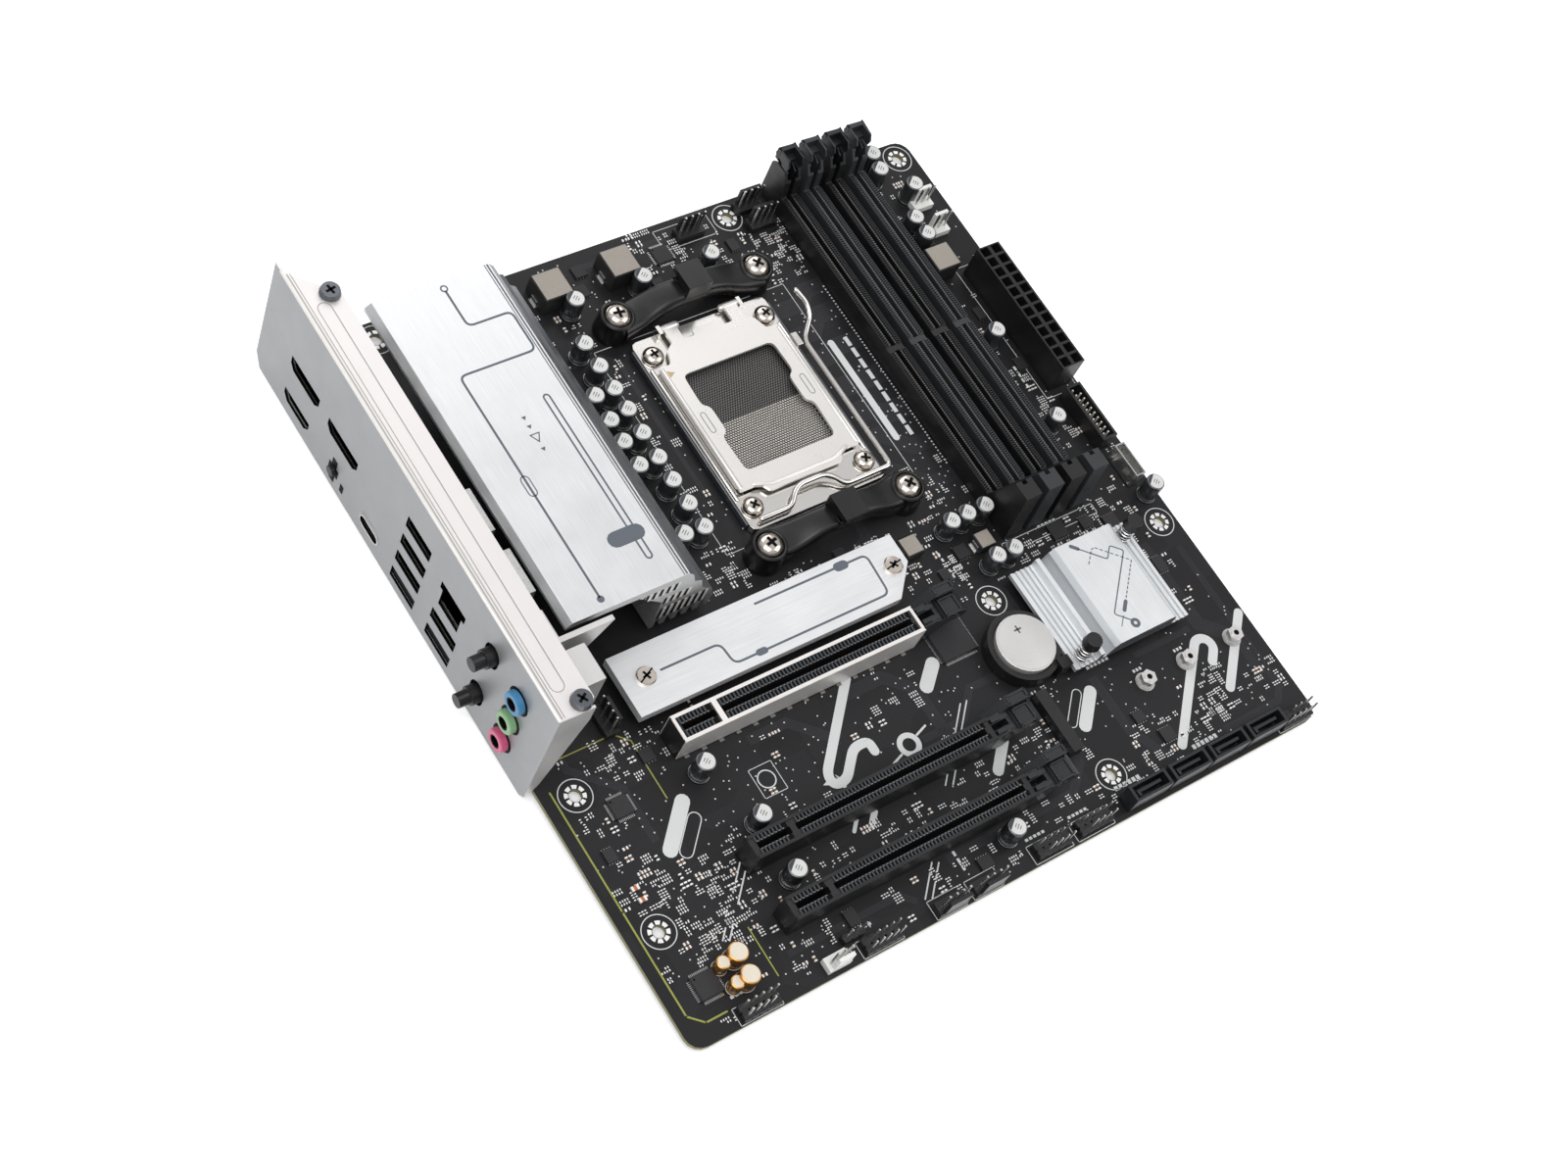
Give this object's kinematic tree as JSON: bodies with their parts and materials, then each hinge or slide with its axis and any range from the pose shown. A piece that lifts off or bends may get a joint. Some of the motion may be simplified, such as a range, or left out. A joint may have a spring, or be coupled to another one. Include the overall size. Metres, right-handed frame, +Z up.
{
  "type": "computer motherboard",
  "caption": "Micro-ATX computer motherboard with processor socket, memory and expansion slots, finned heatsinks and a rear connector panel.",
  "frame": {"origin": "centre of the bounding box in plan, on the underside of the socket backplate, which is the lowest point", "axes": "+X from the rear connector panel to the front edge, +Y from the expansion slots to the processor's power edge, +Z up out of the board's component side"},
  "size_m": [0.2536, 0.2464, 0.0515],
  "materials": {
    "antenna_socket_high": "black cap over a threaded socket",
    "antenna_socket_low": "black cap over a threaded socket",
    "atx_power": "black moulded",
    "audio_jacks": "dark grey moulded",
    "battery": "satin coin-cell can",
    "battery_holder": "black moulded",
    "bios_button": "black moulded",
    "bios_switch": "tin plated shell",
    "bracket_screw_1": "nickel plated",
    "bracket_screw_2": "nickel plated",
    "bracket_screw_3": "nickel plated",
    "bracket_screw_4": "nickel plated",
    "chipset_heatsink": "brushed and clear anodised",
    "circuit_board": "matte black solder mask on glass-fibre board",
    "cooler_bracket_lower": "black moulded",
    "cooler_bracket_upper": "black moulded",
    "cpu_power": "black moulded",
    "cpu_socket": "moulded housing with sprung contacts",
    "dimm_latch_1": "moulded",
    "dimm_latch_2": "moulded",
    "dimm_latch_3": "moulded",
    "dimm_latch_4": "moulded",
    "dimm_slot_1": "moulded",
    "dimm_slot_2": "moulded",
    "dimm_slot_3": "moulded",
    "dimm_slot_4": "moulded",
    "display_port": "black moulded",
    "display_stack": "black moulded",
    "io_shield": "satin plated sheet steel",
    "lan_usb_stack": "tin plated shell",
    "load_lever": "bright nickel plated wire",
    "load_plate": "bright nickel plating",
    "m2_heatsink": "brushed and clear anodised",
    "m2_socket": "dark grey moulded",
    "pcie_latch_1": "dark translucent moulded",
    "pcie_latch_2": "dark translucent moulded",
    "pcie_latch_3": "dark translucent moulded",
    "pcie_slot_1": "plated steel shroud round a moulded slot",
    "pcie_slot_2": "black moulded",
    "pcie_slot_3": "black moulded",
    "push_pin_1": "black moulded",
    "push_pin_2": "black moulded",
    "sata_port_1": "black moulded",
    "sata_port_2": "black moulded",
    "sata_port_3": "black moulded",
    "sata_port_4": "black moulded",
    "shield_screw_high": "dark zinc plating",
    "shield_screw_low": "dark zinc plating",
    "socket_backplate": "dark zinc plating",
    "socket_frame": "bright nickel plating",
    "socket_screw_1": "nickel plated",
    "socket_screw_2": "nickel plated",
    "socket_screw_3": "nickel plated",
    "socket_screw_4": "nickel plated",
    "usb3_header": "black moulded",
    "usb_c_header": "tin plated shell",
    "usb_c_port": "tin plated shell",
    "usb_stack": "tin plated shell",
    "vrm_heatsink": "brushed and clear anodised",
    "wifi_module": "tin plated shield"
  },
  "bodies": {
    "board": {"antenna_socket_high": "antenna_socket_high", "antenna_socket_low": "antenna_socket_low", "atx_power": "atx_power", "audio_jacks": "audio_jacks", "battery_holder": "battery_holder", "bios_switch": "bios_switch", "bracket_screw_1": "bracket_screw_1", "bracket_screw_2": "bracket_screw_2", "bracket_screw_3": "bracket_screw_3", "bracket_screw_4": "bracket_screw_4", "chipset_heatsink": "chipset_heatsink", "circuit_board": "circuit_board", "cooler_bracket_lower": "cooler_bracket_lower", "cooler_bracket_upper": "cooler_bracket_upper", "cpu_power": "cpu_power", "cpu_socket": "cpu_socket", "dimm_slot_1": "dimm_slot_1", "dimm_slot_2": "dimm_slot_2", "dimm_slot_3": "dimm_slot_3", "dimm_slot_4": "dimm_slot_4", "display_port": "display_port", "display_stack": "display_stack", "io_shield": "io_shield", "lan_usb_stack": "lan_usb_stack", "m2_heatsink": "m2_heatsink", "m2_socket": "m2_socket", "pcie_slot_1": "pcie_slot_1", "pcie_slot_2": "pcie_slot_2", "pcie_slot_3": "pcie_slot_3", "sata_port_1": "sata_port_1", "sata_port_2": "sata_port_2", "sata_port_3": "sata_port_3", "sata_port_4": "sata_port_4", "shield_screw_high": "shield_screw_high", "shield_screw_low": "shield_screw_low", "socket_backplate": "socket_backplate", "socket_frame": "socket_frame", "socket_screw_1": "socket_screw_1", "socket_screw_2": "socket_screw_2", "socket_screw_3": "socket_screw_3", "socket_screw_4": "socket_screw_4", "usb3_header": "usb3_header", "usb_c_header": "usb_c_header", "usb_c_port": "usb_c_port", "usb_stack": "usb_stack", "vrm_heatsink": "vrm_heatsink", "wifi_module": "wifi_module"},
    "moving_load_plate": {"load_plate": "load_plate"},
    "moving_load_lever": {"load_lever": "load_lever"},
    "moving_bios_button": {"bios_button": "bios_button"},
    "moving_battery": {"battery": "battery"},
    "moving_dimm_latch_1": {"dimm_latch_1": "dimm_latch_1"},
    "moving_dimm_latch_2": {"dimm_latch_2": "dimm_latch_2"},
    "moving_dimm_latch_3": {"dimm_latch_3": "dimm_latch_3"},
    "moving_dimm_latch_4": {"dimm_latch_4": "dimm_latch_4"},
    "moving_pcie_latch_1": {"pcie_latch_1": "pcie_latch_1"},
    "moving_pcie_latch_2": {"pcie_latch_2": "pcie_latch_2"},
    "moving_pcie_latch_3": {"pcie_latch_3": "pcie_latch_3"},
    "moving_push_pin_1": {"push_pin_1": "push_pin_1"},
    "moving_push_pin_2": {"push_pin_2": "push_pin_2"}
  },
  "joints": [
    {"name": "load_plate_hinge", "type": "hinge", "parent": "board", "child": "moving_load_plate", "pos_m": [0.014, 0.0821, 0.00827], "axis": [-1, 0, 0], "range_deg": [0, 100]},
    {"name": "load_lever_hinge", "type": "hinge", "parent": "board", "child": "moving_load_lever", "pos_m": [0.0426, 0.0101, 0.00837], "axis": [1, 0, 0], "range_deg": [0, 110]},
    {"name": "dimm_latch_1_hinge", "type": "hinge", "parent": "board", "child": "moving_dimm_latch_1", "pos_m": [0.0681, 0.1164, 0.00807], "axis": [-1, 0, 0], "range_deg": [0, 25]},
    {"name": "dimm_latch_2_hinge", "type": "hinge", "parent": "board", "child": "moving_dimm_latch_2", "pos_m": [0.0775, 0.1164, 0.00807], "axis": [-1, 0, 0], "range_deg": [0, 25]},
    {"name": "dimm_latch_3_hinge", "type": "hinge", "parent": "board", "child": "moving_dimm_latch_3", "pos_m": [0.0869, 0.1164, 0.00807], "axis": [-1, 0, 0], "range_deg": [0, 25]},
    {"name": "dimm_latch_4_hinge", "type": "hinge", "parent": "board", "child": "moving_dimm_latch_4", "pos_m": [0.0963, 0.1164, 0.00807], "axis": [-1, 0, 0], "range_deg": [0, 25]},
    {"name": "pcie_latch_1_hinge", "type": "hinge", "parent": "board", "child": "moving_pcie_latch_1", "pos_m": [0.0188, -0.04164, 0.00647], "axis": [0, 1, 0], "range_deg": [0, 15]},
    {"name": "pcie_latch_2_hinge", "type": "hinge", "parent": "board", "child": "moving_pcie_latch_2", "pos_m": [0.0188, -0.08228, 0.00647], "axis": [0, 1, 0], "range_deg": [0, 15]},
    {"name": "pcie_latch_3_hinge", "type": "hinge", "parent": "board", "child": "moving_pcie_latch_3", "pos_m": [0.0188, -0.1026, 0.00647], "axis": [0, 1, 0], "range_deg": [0, 15]},
    {"name": "bios_button_press", "type": "slide", "parent": "board", "child": "moving_bios_button", "axis": [1, 0, 0], "range_m": [0, 0.0005]},
    {"name": "push_pin_1_press", "type": "slide", "parent": "board", "child": "moving_push_pin_1", "axis": [0, 0, -1], "range_m": [0, 0.0015]},
    {"name": "push_pin_2_press", "type": "slide", "parent": "board", "child": "moving_push_pin_2", "axis": [0, 0, -1], "range_m": [0, 0.0015]},
    {"name": "battery_lift", "type": "slide", "parent": "board", "child": "moving_battery", "axis": [0, 0, 1], "range_m": [0, 0.012]}
  ]
}
